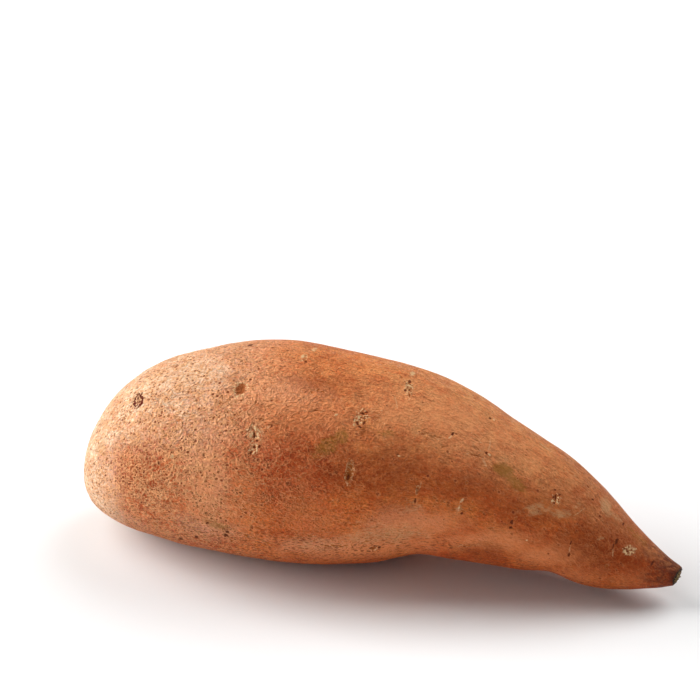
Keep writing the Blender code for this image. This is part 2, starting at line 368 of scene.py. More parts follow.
NEAR_SCARS = (
    # The round eye of the crown, and the scratches near it.
    *scars(RING, (21.2, 116, 5.4, 4, 115, 0.35)),
    *scars(
        SPECK, (20.6, 113, 1.5, 0.9, 100, 0.2), (21.5, 117, 0.9, 0.7, 0, 0.2), (21, 119, 1, 0.7, 60, 0.2),
        (31.3, 159, 1.2, 0.9, 120), (51.5, 77, 2.4, 1.6, 100, 0.4),
    ),
    *scars(GLINT, (35.5, 155, 1.2, 1, 25, 0.2)),
    *scars(
        SCRATCH, (30.3, 153, 2.8, 0.6, 108, 0.15), (32.2, 166, 4.6, 0.6, 104, 0.15),
        (32.5, 180, 3.6, 0.8, 73, 0.2),
    ),
    # The brown pit, and the crease that starts below it.
    *scars(PIT, (53.7, 117, 4.6, 3.6, 85, 0.5)),
    *scars(CREASE, (62, 127, 6.4, 0.6, 22, 0.25), (77.2, 126, 7.4, 0.5, 6, 0.25)),
    *scars(DASH, (61.5, 134, 1.5, 0.5, 26)),
    # The burst of flakes, with the small pits below it.
    *scars(FLAKES, (60.3, 142, 5, 3.8, 105, 0.4), (60.4, 149, 3.6, 2.4, 60)),
    *scars(
        SPECK, (60.2, 142, 2.2, 0.6, 92, 0.4), (59.9, 151, 1.2, 1.1, 41, 0.4), (60.5, 148, 0.9, 0.7),
        (64.9, 137, 1.3, 0.8, 25),
    ),
    *scars(
        GLINT, (59.2, 142, 2.2, 1.1, 72), (61.4, 142, 2.4, 0.9, 117), (60.6, 151, 1.4, 0.7, 66),
        (64.1, 137, 1.2, 0.7, 47, 0.2),
    ),
    Trail(SPECK, (61.3, 145), (62.2, 147), 2, 1.0, 0.8, 5, 0.4),
    # The flakes high on the back, and the red-brown dashes beside them.
    *scars(FLAKES, (69.8, 91, 3.8, 1.9, 93, 0.25)),
    *scars(GLINT, (69.2, 90, 2.6, 1.2, 90), (71.5, 78, 4, 1.5, 80, 0.25), (83.4, 126, 1.3, 0.7, 21, 0.2)),
    *scars(SPECK, (70.8, 94, 1.5, 0.9, 134)),
    Trail(DASH, (73.5, 97), (76.0, 102), 2, 1.2, 0.9),
    Trail(DASH, (72.6, 107), (74.8, 115), 2, 1.3, 0.8, 150),
    Trail(DASH, (76.8, 114), (82.0, 117), 4, 1.3, 0.7),
    *scars(CREASE, (77.6, 126, 4.3, 0.5, 11, 0.25), (81.9, 125, 3.7, 0.4, 176, 0.2)),
    # The torn eye of the middle, and the fine creases that fan out from it.
    *scars(FLAKES, (90.7, 125, 4.8, 3.2, 75, 0.35)),
    *scars(
        SPECK, (90.8, 122, 1.3, 0.8, 174, 0.4), (92, 121, 0.9, 0.6, 9), (91.8, 127, 1.5, 0.8, 64, 0.5),
        (89.8, 128, 1.4, 0.8, 125, 0.4), (90.6, 130, 1.3, 0.7, 179, 0.4),
    ),
    *scars(GLINT, (89, 129, 1.4, 0.9, 13), (90.3, 120, 1.6, 0.6, 63, 0.2)),
    *scars(DENT, (92.1, 133, 2.8, 2.2, 49, 0.4)),
    Trail(CREASE, (94.3, 119), (95.5, 125), 4, 2.7, 0.5),
    *scars(SCRATCH, (99.7, 111, 5.8, 0.4, 109, 0.15)),
    Trail(DASH, (94.6, 86), (98.8, 87), 2, 1.3, 0.9, 100, 0.3),
    # The tall scar near the ridge of the back.
    *scars(GLINT, (101.7, 80, 3.4, 1.5, 83, 0.2), (101, 99, 2.2, 0.6, 85, 0.2)),
    *scars(FLAKES, (102.1, 97, 6, 2.1, 99, 0.25)),
    *scars(SPECK, (101.8, 90, 2.4, 0.8, 99)),
    Trail(SPECK, (101.6, 100), (102.7, 99), 2, 1.1, 0.8, 80, 0.3),
    *scars(SLIT, (102.9, 103, 3, 0.9, 103, 0.4)),
    # The olive slit of the near side, and the creases and dashes on both sides of it.
    *scars(SLIT, (89.1, 154, 6, 2.3, 87, 0.5)),
    *scars(SPECK, (89.1, 157, 1.7, 0.9, 85, 0.2), (102.5, 143, 1, 0.7, 8)),
    *scars(SCRATCH, (88.2, 152, 4.6, 0.5, 79, 0.2)),
    *scars(GLINT, (102.9, 144, 0.9, 0.6, 8, 0.2)),
    Trail(CREASE, (109.1, 128), (113.1, 127), 3, 4.2, 0.45),
    *scars(DASH, (74.9, 161, 2.2, 0.6, 2, 0.2)),
    *scars(CREASE, (77, 171, 6.1, 0.5, 1, 0.2)),
    # The dashes and the pit of the belly.
    *scars(
        DASH, (82.1, 189, 1, 0.9, 9), (91.2, 219, 4.8, 1, 175, 0.2), (58.9, 181, 1.4, 0.7, 10),
        (67.2, 173, 1.4, 0.5, 175),
    ),
    Trail(DASH, (71.9, 195), (78.3, 195), 3, 2.0, 0.75, 165),
    Trail(DASH, (83.0, 201), (88.3, 203), 4, 1.8, 0.9, 165),
    Trail(DASH, (78.3, 197), (83.3, 206), 2, 1.2, 0.8),
    Trail(DASH, (93.1, 199), (94.7, 199), 2, 1.4, 0.8, 160, 0.3),
    *scars(PIT, (95.8, 207, 2.3, 1.9, 20, 0.5)),
    *scars(SPECK, (96.6, 205, 1.4, 0.9, 158, 0.4), (97.7, 207, 1.6, 1, 75, 0.4)),
    Trail(DASH, (101.8, 205), (102.8, 210), 2, 1.3, 0.9, 10),
    *scars(CREASE, (91.3, 184, 2.8, 0.6, 169, 0.2)),
    Trail(DASH, (58.7, 198), (64.9, 202), 4, 2.3, 0.75, 5),
    Trail(SCRATCH, (53.9, 168), (65.3, 167), 2, 2.0, 0.4, 12, 0.15),
    # The dark marks low on the crown.
    *scars(DASH, (38.8, 200, 1.7, 1.1, 179), (53.8, 205, 1.1, 1, 113), (29.1, 204, 2.2, 1.2, 112, 0.2)),
    *scars(SPECK, (42.4, 208, 2, 1.3, 60, 0.4), (36.4, 216, 2.4, 1.4, 80, 0.5), (46.8, 193, 1.4, 0.9, 47)),
    Trail(SPECK, (52.1, 202), (52.7, 198), 2, 1.6, 1.2, 85, 0.4),
    # The long nick of the waist, and the marks low on the neck.
    *scars(SLIT, (109, 163, 2.8, 0.8, 81, 0.4)),
    *scars(
        SPECK, (108.7, 170, 1.6, 0.7, 81), (122, 173, 0.9, 0.7), (136.4, 170, 1.7, 0.9, 83, 0.4),
        (136.2, 175, 1.1, 1, 10, 0.4),
    ),
    *scars(SCRATCH, (109.8, 160, 2.8, 0.5, 84, 0.15)),
    Trail(DASH, (114.0, 167), (116.2, 168), 3, 1.3, 0.6, 150, 0.3),
    Trail(GLINT, (121.8, 163), (121.3, 168), 2, 2.0, 0.8, 68, 0.15),
    Trail(DASH, (119.9, 171), (127.3, 168), 4, 1.6, 0.6, 165, 0.3),
    *scars(DASH, (122.9, 151, 1, 0.8, 96), (130.5, 180, 1.7, 0.6), (137.6, 166, 1.1, 0.7, 55)),
    Trail(CREASE, (119.8, 206), (123.7, 202), 2, 4.4, 0.6, 5),
    *scars(GLINT, (141.1, 182, 0.9, 0.7, 13, 0.2)),
    # The crease of the neck's back, and the scratches that cross it.
    *scars(DASH, (120.7, 76, 1.6, 1, 80, 0.2)),
    *scars(SPECK, (126.2, 91, 1.3, 0.9, 71, 0.4), (117, 122, 1.3, 0.8, 60), (127.3, 124, 1.1, 0.7, 10)),
    *scars(
        GLINT, (127.3, 90, 1.3, 0.8, 71, 0.2), (116.4, 125, 1.4, 0.6, 64, 0.2),
        (128.1, 125, 1.1, 0.7, 147, 0.2),
    ),
    Trail(DASH, (115.3, 133), (118.1, 130), 2, 1.2, 0.5, 20),
    *scars(CREASE, (124.3, 130, 5.1, 0.6, 3, 0.35)),
    *scars(
        SCRATCH, (127.6, 117, 4.7, 0.6, 86, 0.15), (127.1, 132, 4, 0.8, 128, 0.15),
        (142.9, 82, 4.4, 1, 164, 0.1),
    ),
    Trail(CREASE, (123.7, 114), (124.3, 125), 3, 2.8, 0.5, 165),
    # The star-shaped eye, and the nicks of the tail.
    *scars(FLAKES, (148.5, 135, 3, 2.3, 86), (170.8, 145, 3.6, 2.3, 12, 0.25)),
    *scars(
        SPECK, (148.4, 133, 2.1, 0.6, 94, 0.5), (158.8, 109, 1, 0.7, 47), (168.3, 104, 1.4, 0.9, 68, 0.4),
        (167, 143, 2.2, 1.1, 66, 0.5), (166.3, 152, 1.8, 0.5, 80), (153.9, 170, 1.6, 0.5, 75),
        (153.6, 184, 1.6, 0.7, 75, 0.4), (177.9, 146, 2.2, 0.7, 62, 0.5),
    ),
    Trail(SPECK, (147.4, 136), (149.3, 129), 2, 1.0, 0.6, 60),
    Trail(SPECK, (148.2, 141), (148.0, 128), 2, 0.8, 0.5),
    *scars(GLINT, (148.9, 136, 1.6, 0.5, 90, 0.2), (171, 140, 1.8, 0.5, 20, 0.2)),
    *scars(DASH, (151.6, 96, 2.1, 0.9, 177, 0.2), (164.8, 184, 1.2, 0.9, 60)),
    *scars(
        SCRATCH, (155.5, 135, 4.9, 0.4, 43, 0.15), (166.3, 161, 4.4, 0.6, 84),
        (153.8, 177, 2.9, 0.5, 78, 0.2),
    ),
    Trail(DASH, (174.4, 102), (175.5, 106), 2, 1.8, 0.5, 170),
)

NEAR_STAINS = (
    # Olive stains and scuffs.
    *stains(
        OLIVE, (85.4, 137, 4.6, 4.2, 1, 71), (82, 142, 9, 4.6, 0.9, 45), (98.5, 132, 6.5, 2.4, 0.6, 5),
        (89.1, 154, 5.8, 2.4, 0.6, 87), (132.4, 131, 6.7, 3.8, 1, 9), (136.6, 137, 8.5, 4.2, 0.6, 151),
        (49.8, 194, 8.6, 4.2, 0.8, 169), (47.2, 191, 3.3, 2.5, 0.6, 46), (49.7, 186, 6, 2.6, 0.4, 14),
        (172.8, 101, 10.4, 3.9, 0.5, 159), (142.8, 82, 5.6, 2.6, 0.4, 162), (91.4, 128, 4.6, 3.1, 0.35, 75),
        (102, 95, 9, 2.8, 0.35, 99),
    ),
    # Pale patches; the two long ones low on the belly, at 194 and 201 degrees, are painted light reflected
    # from the floor.
    *stains(
        PALE, (9.4, 146, 6, 4, 0.9, 170), (142.5, 152, 6.8, 4.4, 0.6, 16), (146, 149, 7, 2.6, 0.45, 14),
        (150.4, 146, 7.4, 3.2, 0.6, 12), (154.4, 130, 4.4, 1.8, 0.5, 49), (162.5, 101, 7, 4.5, 0.8, 81),
        (166.2, 103, 5.6, 3.3, 0.45, 168), (162.3, 152, 2.2, 1.5, 0.6, 4), (170.8, 145, 4.2, 2.8, 0.5, 12),
        (101.6, 80, 4.4, 2.6, 0.5, 84), (121.3, 170, 4.6, 3.7, 0.35, 96), (70.8, 80, 8, 4.8, 0.35, 70),
        (92.8, 183, 7.3, 3.8, 0.3), (101, 194, 26, 10, 0.6), (80, 201, 22, 10, 0.4),
        (108, 174, 9, 5, 0.45, 20), (38, 152, 16, 5, 0.3, 25),
    ),
    # Dust of the crown and the belly, with painted light: painted sheen on the crown's top, and painted light
    # reflected from the floor along the lower edge of the crown's end and the belly.
    *stains(
        DUST_AND_PAINTED_LIGHT, (34, 106, 36, 14, 0.55), (68, 118, 24, 11, 0.22), (105, 186, 22, 11, 0.17),
        (82, 203, 26, 8, 0.3), (4, 180, 20, 34, 0.6), (12, 204, 18, 16, 0.6), (14, 178, 12, 28, 0.4),
        (46, 166, 12, 26, 0.4, 10), (46, 196, 20, 10, 0.3),
    ),
    # Pink blushes of the crown, the back and the waist; the long one low on the belly, at 206 degrees, is
    # painted light reflected from the floor.
    *stains(
        PINK, (66, 119, 24, 12, 0.45), (78, 129, 22, 11, 0.6), (101, 119, 18, 9, 0.4),
        (57, 178, 16, 28, 0.5), (76, 176, 14, 24, 0.35), (27.2, 139, 16, 10, 0.4, 11),
        (107, 189, 30, 13, 1, 2), (130, 194, 30, 9, 1), (150, 188, 20, 9, 0.9), (99.5, 118, 12, 9, 0.6, 44),
        (116, 112, 40, 16, 0.5), (134, 104, 26, 12, 0.4), (46, 172, 14, 28, 1), (94, 206, 54, 16, 1),
        (145, 196, 16, 10, 0.8), (155, 212, 16, 10, 0.5), (172, 196, 14, 7, 0.3), (62, 126, 20, 9, 0.5, 4),
        (78, 186, 20, 10, 0.4, 8),
    ),
    # Brown stains; the one high on the back at 110 degrees is painted shade in a hollow, and the one low on
    # the belly at 208 degrees is painted shade of the underside.
    *stains(
        BROWN, (84.2, 156, 15, 9, 1, 175), (98, 153, 34, 16, 1, 3), (74, 152, 26, 18, 0.5),
        (128, 208, 14, 9, 1), (127, 148, 18, 10, 0.5), (119, 156, 24, 9, 0.7), (143, 152, 28, 10, 0.7),
        (152, 128, 26, 10, 0.5), (164, 156, 34, 16, 1), (26, 168, 22, 22, 0.95, 60),
        (92.2, 133, 4.3, 3.9, 0.6, 11), (66.8, 139, 6.8, 2.5, 0.4, 10), (78, 110, 20, 9, 0.8),
        (148.9, 136, 6.7, 5.6, 0.5, 11),
    ),
)


@dataclass(frozen=True)
class HiddenSide:
    """The scars and stains of the sides that the photograph doesn't show, placed by a seeded rule.

    They are spread evenly along the root, whose length is in mm, and anywhere between two turns round it.
    """

    length: float
    seed: int = 7
    scars: int = 44
    stains: int = 20
    turns: tuple[float, float] = (236.0, 424.0)
    kinds: tuple[ScarKind, ...] = (
        PIT, DASH, SPECK, CREASE, FLAKES, DASH, SLIT, SPECK, SCRATCH, DASH, GLINT,
    )
    short: tuple[ScarKind, ...] = (SPECK, GLINT)
    slim: tuple[ScarKind, ...] = (CREASE, SCRATCH, DASH)
    across: tuple[ScarKind, ...] = (SLIT, SCRATCH, PIT, FLAKES)

    def place(self, draw: random.Random, share: float) -> dict[str, float]:
        """A drawn place, at about a share of the root's length."""
        return {"from_crown": self.length * (0.05 + 0.9 * share), "around": draw.uniform(*self.turns) % 360}

    def draw_scars(self) -> list[Scar]:
        """Draws the scars.

        Returns:
            The scars.
        """
        draw = random.Random(self.seed)
        made = []
        for count in range(self.scars):
            kind = self.kinds[count % len(self.kinds)]
            long = draw.uniform(1.2, 2.6) if kind in self.short else draw.uniform(2.0, 5.0)
            made.append(
                Scar(
                    kind=kind,
                    **self.place(draw, (count + draw.random()) / self.scars),
                    long=long,
                    wide=draw.uniform(0.5, 0.9) if kind in self.slim else long * draw.uniform(0.45, 0.8),
                    lean=draw.uniform(60, 120) if kind in self.across else draw.uniform(-15, 15),
                    depth=draw.uniform(0.2, 0.45),
                )
            )
        return made

    def draw_stains(self) -> list[Stain]:
        """Draws the stains.

        Returns:
            The stains.
        """
        draw = random.Random(self.seed + 1)
        tints = list(Tint)
        made = []
        for count in range(self.stains):
            made.append(
                Stain(
                    tint=tints[count % len(tints)],
                    **self.place(draw, (count + draw.random()) / self.stains),
                    long=draw.uniform(5, 20),
                    wide=draw.uniform(3, 10),
                    lean=draw.uniform(-20, 20),
                    strength=draw.uniform(0.3, 0.7),
                )
            )
        return made


def clouds(places: np.ndarray, size: float, seed: float = 0.0) -> np.ndarray:
    """Smooth noise from -1 to 1, read at each place.

    Args:
        places: the places, one in each row.
        size: the distance between the noise's humps.
        seed: shifts the noise, so that no two are alike.

    Returns:
        One value for each place.
    """
    shift = Vector((seed, 1.7 * seed, -seed))
    return np.array([noise.noise(Vector(place) / size + shift) for place in places])


FAR_OFF = 50.0
FACING_AWAY = 0.1


class SkinMap:
    """Where each point of the skin lies along the root and round it."""

    STATIONS = 60
    WANDER = 0.35 * MM
    WANDER_LENGTH = 2.6 * MM

    def __init__(self, places: np.ndarray, normals: np.ndarray) -> None:
        """Finds the root's middle line from the points of its skin.

        Args:
            places: the skin's points.
            normals: the way that the skin faces at each of them.
        """
        self.places = places
        self.normals = normals
        self.start = places[:, 0].min()
        self.length = places[:, 0].max() - self.start
        self.from_crown = places[:, 0] - self.start
        step = self.length / self.STATIONS
        stations = self.start + step * (np.arange(self.STATIONS) + 0.5)
        slices = [places[abs(places[:, 0] - x) < step] for x in stations]
        low = np.array([piece.min(axis=0) for piece in slices])
        high = np.array([piece.max(axis=0) for piece in slices])
        middles = (low + high) / 2
        across = places[:, 1] - np.interp(places[:, 0], stations, middles[:, 1])
        upwards = places[:, 2] - np.interp(places[:, 0], stations, middles[:, 2])
        self.radius = np.hypot(across, upwards)
        self.around = np.degrees(np.arctan2(upwards, across)) % 360
        self.grain = np.stack([self.from_crown, across, upwards], axis=1)
        self.wander = self.WANDER * clouds(places, self.WANDER_LENGTH, 17.0)

    def nearest(self, from_crown: float, around: float) -> int:
        """The number of the point that is nearest to a place given along the root and round it."""
        turn = np.radians((self.around - around + 180) % 360 - 180)
        return int(np.argmin(np.hypot(self.from_crown - from_crown, turn * self.radius)))

    def axes(self, mark: Mark) -> tuple[Vector, Vector, Vector, Vector]:
        """Where a scar or stain lies on the skin.

        Args:
            mark: the scar or stain.

        Returns:
            Its middle, its long side, its wide side and the way it faces.
        """
        centre = self.nearest(mark.from_crown * MM, mark.around)
        facing = Vector(self.normals[centre])
        axis = (Vector((1, 0, 0)) - facing.x * facing).normalized()
        long_side = Matrix.Rotation(math.radians(mark.lean), 3, facing) @ axis
        return Vector(self.places[centre]), long_side, facing.cross(long_side), facing

    def around_mark(self, mark: Mark, margin: float = 0.0) -> tuple[np.ndarray, np.ndarray]:
        """Every point's place as seen from a scar or stain, in halves of its long and its wide size.

        Args:
            mark: the scar or stain.
            margin: how much farther than the mark each half reaches, in mm.

        Returns:
            The places along its long side and across it. Points of the root's other side are sent far off.
        """
        middle, long_side, wide_side, facing = self.axes(mark)
        offset = self.places - np.array(middle)
        along = offset @ np.array(long_side) / ((mark.long / 2 + margin) * MM)
        across = (offset @ np.array(wide_side) + self.wander) / ((mark.wide / 2 + margin) * MM)
        along[self.normals @ np.array(facing) < FACING_AWAY] = FAR_OFF
        return along, across


@dataclass
class Skin:
    """The root's skin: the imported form, refined, with its unevenness, wrinkles, scars and snapped end.

    The snapped end is a plane, given by the way it faces and by how far it lies before the far end.
    """

    scars: list[Scar]
    stains: list[Stain]
    levels: int = 2
    uneven: float = 0.18 * MM
    uneven_size: float = 12.0 * MM
    pebble: float = 0.08 * MM
    pebble_size: float = 1.9 * MM
    wrinkle: float = 0.10 * MM
    wrinkle_sizes: tuple[float, float, float] = (15.0 * MM, 2.4 * MM, 2.4 * MM)
    fine_margin: float = 0.6
    finest_margin: float = 0.3
    widest_fine: float = 3.0
    snap_facing: tuple[float, float, float] = (0.92, -0.34, -0.19)
    snap_before: float = 1.1 * MM
    ragged: float = 0.35 * MM
    cut_edge: float = 0.25 * MM
    thin_radius: float = 12 * MM
    smooth_from: float = 90 * MM
    weld: float = 0.001 * MM

    def cage(self) -> bpy.types.Mesh:
        """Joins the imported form's triangles in pairs and subdivides them smoothly.

        Returns:
            The closed mesh.
        """
        shape = bmesh.new()
        shape.from_mesh(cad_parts[NODE].data)
        bmesh.ops.remove_doubles(shape, verts=shape.verts, dist=self.weld)
        bend, skew = math.radians(40), math.radians(80)
        bmesh.ops.join_triangles(
            shape, faces=shape.faces, angle_face_threshold=bend, angle_shape_threshold=skew
        )
        mesh = bpy.data.meshes.new("cage")
        shape.to_mesh(mesh)
        shape.free()
        cage = bpy.data.objects.new("cage", mesh)
        bpy.context.scene.collection.objects.link(cage)
        finer = cage.modifiers.new("finer", "SUBSURF")
        finer.levels = self.levels
        finer.render_levels = self.levels
        smooth = bpy.data.meshes.new_from_object(cage.evaluated_get(bpy.context.evaluated_depsgraph_get()))
        bpy.data.objects.remove(cage)
        bpy.data.meshes.remove(mesh)
        return smooth

    def refine(self, shape: bmesh.types.BMesh, margin: float, widest: float) -> None:
        """Halves the faces in and round each scar.

        Args:
            shape: the skin.
            margin: how far beyond a scar the faces are halved, in mm.
            widest: wider scars are left as they are, in mm.
        """
        skin = self.chart(shape)
        close = np.zeros(len(skin.places), bool)
        for scar in self.scars:
            if scar.wide < widest:
                close |= np.hypot(*skin.around_mark(scar, margin)) < 1
        edges = [edge for edge in shape.edges if close[edge.verts[0].index] and close[edge.verts[1].index]]
        bmesh.ops.subdivide_edges(shape, edges=edges, cuts=1, use_grid_fill=True, smooth=0.0)

    @staticmethod
    def chart(shape: bmesh.types.BMesh) -> SkinMap:
        """The map of the skin as it now is."""
        shape.verts.index_update()
        shape.normal_update()
        return SkinMap(
            np.array([vert.co for vert in shape.verts], float),
            np.array([vert.normal for vert in shape.verts], float),
        )

    def relief(self, skin: SkinMap) -> np.ndarray:
        """How far the unevenness and wrinkles lift each point.

        Args:
            skin: the map of the skin.

        Returns:
            The heights, in metres.
        """
        wrinkled = skin.grain / np.array(self.wrinkle_sizes)
        pebbled = np.clip(1.2 - skin.from_crown / self.smooth_from, 0.25, 1.0)
        height = self.uneven * clouds(skin.places, self.uneven_size, 3.0)
        height += 0.4 * self.uneven * clouds(skin.places, self.uneven_size / 2.3, 5.0)
        height += self.wrinkle * clouds(wrinkled, 1.0, 7.0)
        height += self.pebble * pebbled * clouds(skin.places, self.pebble_size, 9.0)
        return height * np.clip(skin.radius / self.thin_radius, 0.15, 1.0)

    def carve(self, skin: SkinMap) -> np.ndarray:
        """How far the scars sink or lift each point.

        Args:
            skin: the map of the skin.

        Returns:
            The heights, in metres.
        """
        height = np.zeros(len(skin.places))
        wobble = 1 + 0.2 * clouds(skin.places, 0.9 * MM, 11.0)
        for scar in self.scars:
            look = scar.kind.value
            off = np.hypot(*skin.around_mark(scar)) * wobble
            rim = off if look.pale else (off - 1.15) / 0.3
            band = (off - 0.85) / 0.16
            lift = 0.5 * look.raised * np.exp(-(rim**2)) - look.hollow * np.exp(-((off / 0.7) ** 2))
            lift -= 0.5 * look.ring * np.exp(-(band**2))
            height += scar.depth * MM * lift
        return height

    def stained(self, skin: SkinMap, tint: Tint) -> np.ndarray:
        """How strongly one tint stains each point.

        Args:
            skin: the map of the skin.
            tint: the tint.

        Returns:
            The strengths, from 0 to 1.
        """
        shade = np.zeros(len(skin.places))
        wobble = 1 + 0.35 * clouds(skin.places, 4.0 * MM, 13.0)
        for stain in self.stains:
            if stain.tint is tint:
                off = np.hypot(*skin.around_mark(stain)) * wobble
                shade = np.maximum(shade, stain.strength * np.exp(-(off**3)))
        return shade

    def snap(self, skin: SkinMap, places: np.ndarray) -> tuple[np.ndarray, np.ndarray]:
        """Cuts the tail's end off at the snapped plane, and leaves the cut uneven.

        Args:
            skin: the map of the skin before its relief.
            places: the skin's points, with their relief.

        Returns:
            The points, and how far each of them belongs to the cut, from 0 to 1.
        """
        facing = np.array(Vector(self.snap_facing).normalized())
        end = places[skin.from_crown > skin.length - 0.3 * MM].mean(axis=0)
        beyond = (places - end) @ facing / facing[0] + self.snap_before
        uneven = self.ragged * clouds(places * (0.1, 1.0, 1.0), 0.8 * MM, 15.0)
        cut = np.clip(beyond / self.cut_edge, 0, 1)
        snapped = places.copy()
        snapped[:, 0] -= np.where(beyond > 0, beyond - uneven * cut, 0)
        return snapped, cut

    def build(self) -> bpy.types.Object:
        """Makes the skin's object, with the attributes that its finish reads.

        Returns:
            The object.
        """
        mesh = self.cage()
        shape = bmesh.new()
        shape.from_mesh(mesh)
        self.refine(shape, self.fine_margin, math.inf)
        self.refine(shape, self.finest_margin, self.widest_fine)
        bmesh.ops.triangulate(shape, faces=[face for face in shape.faces if len(face.verts) > 4])
        skin = self.chart(shape)
        height = self.relief(skin) + self.carve(skin)
        moved, cut = self.snap(skin, skin.places + skin.normals * height[:, None])
        moved[:, 2] = np.maximum(moved[:, 2], 0.0)
        for vert, place in zip(shape.verts, moved):
            vert.co = place
        shape.to_mesh(mesh)
        shape.free()
        mesh.name = "skin"
        mesh.shade_smooth()
        self.paint(mesh, "grain", skin.grain / MM)
        self.paint(mesh, "lift", skin.grain[:, 2] / skin.radius)
        self.paint(mesh, "torn", cut)
        for tint in Tint:
            self.paint(mesh, tint.value, self.stained(skin, tint))
        self.mark_scars(mesh, skin)
        return bpy.data.objects.new("skin", mesh)

    def mark_scars(self, mesh: bpy.types.Mesh, skin: SkinMap) -> None:
        """Tells each face which scar it shows, and each of its corners where that corner lies in the scar.

        A small scar that lies in a large one takes its own faces from it.

        Args:
            mesh: the finished skin.
            skin: the map of the skin before its relief.
        """
        corners = np.empty(len(mesh.loops), int)
        mesh.loops.foreach_get("vertex_index", corners)
        counts = np.empty(len(mesh.polygons), int)
        mesh.polygons.foreach_get("loop_total", counts)
        face_of_corner = np.repeat(np.arange(len(counts)), counts)
        nearest = np.full(len(counts), np.inf)
        spot = np.full((len(corners), 3), FAR_OFF)
        look = np.zeros((len(corners), 4))
        for scar in sorted(self.scars, key=lambda scar: -scar.long * scar.wide):
            along, across = skin.around_mark(scar)
            off = np.hypot(along, across)
            middle = np.bincount(face_of_corner, off[corners]) / counts
            closest = np.minimum.reduceat(off[corners], np.concatenate([[0], np.cumsum(counts)[:-1]]))
            taken = (middle < nearest) | (closest < 1.2)
            nearest[taken] = middle[taken]
            mine = taken[face_of_corner]
            kind = scar.kind.value
            spot[mine] = np.stack([along, across, np.full(len(off), kind.ring)], axis=1)[corners[mine]]
            look[mine] = (kind.core, kind.lip, kind.pale, kind.flakes)
        self.paint(mesh, "scar_spot", spot)
        self.paint(mesh, "scar_look", look)

    @staticmethod
    def paint(mesh: bpy.types.Mesh, name: str, values: np.ndarray) -> None:
        """Stores one attribute of the mesh.

        Args:
            mesh: the mesh.
            name: the attribute's name.
            values: one value, or a row of 3 or 4 values, for each point or for each corner.
        """
        kinds = {1: ("FLOAT", "value"), 3: ("FLOAT_VECTOR", "vector"), 4: ("FLOAT_COLOR", "color")}
        kind, key = kinds[values.size // len(values)]
        domain = "POINT" if len(values) == len(mesh.vertices) else "CORNER"
        layer = mesh.attributes.new(name, kind, domain)
        layer.data.foreach_set(key, values.astype(np.float32).ravel())


